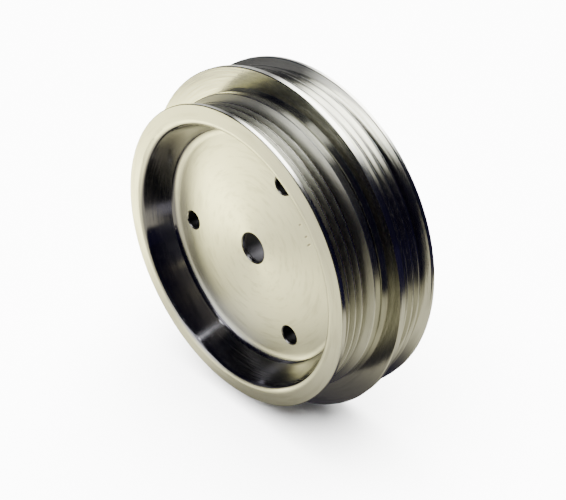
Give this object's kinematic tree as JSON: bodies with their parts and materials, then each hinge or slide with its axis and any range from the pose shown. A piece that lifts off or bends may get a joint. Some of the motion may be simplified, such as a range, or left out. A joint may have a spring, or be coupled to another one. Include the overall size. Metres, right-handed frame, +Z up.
{
  "type": "supercharger drive pulley",
  "caption": "Stepped ribbed belt pulley in satin turned metal: a small dished front sheave on a larger rear sheave, with a centre bore and a circle of bolt holes.",
  "frame": {"origin": "on the pulley's axis, in the plane of the rear face that bolts to the drive hub", "axes": "+Y along the axis towards the drive hub, so the dished front faces -Y; +X to the right seen from the front; +Z up"},
  "size_m": [0.1454, 0.039, 0.1454],
  "materials": {
    "front_metal": "satin turned aluminium, fine concentric tool marks",
    "rear_metal": "satin turned aluminium, fine concentric tool marks",
    "bush_steel": "bored steel",
    "fastener_steel": "plain hardened steel"
  },
  "bodies": {
    "root": {"front_sheave": "front_metal", "rear_sheave": "rear_metal", "pilot_bush": "bush_steel", "index_dowel_1": "fastener_steel", "index_dowel_2": "fastener_steel", "joining_screw_1": "fastener_steel", "joining_screw_2": "fastener_steel", "joining_screw_3": "fastener_steel"}
  },
  "joints": []
}
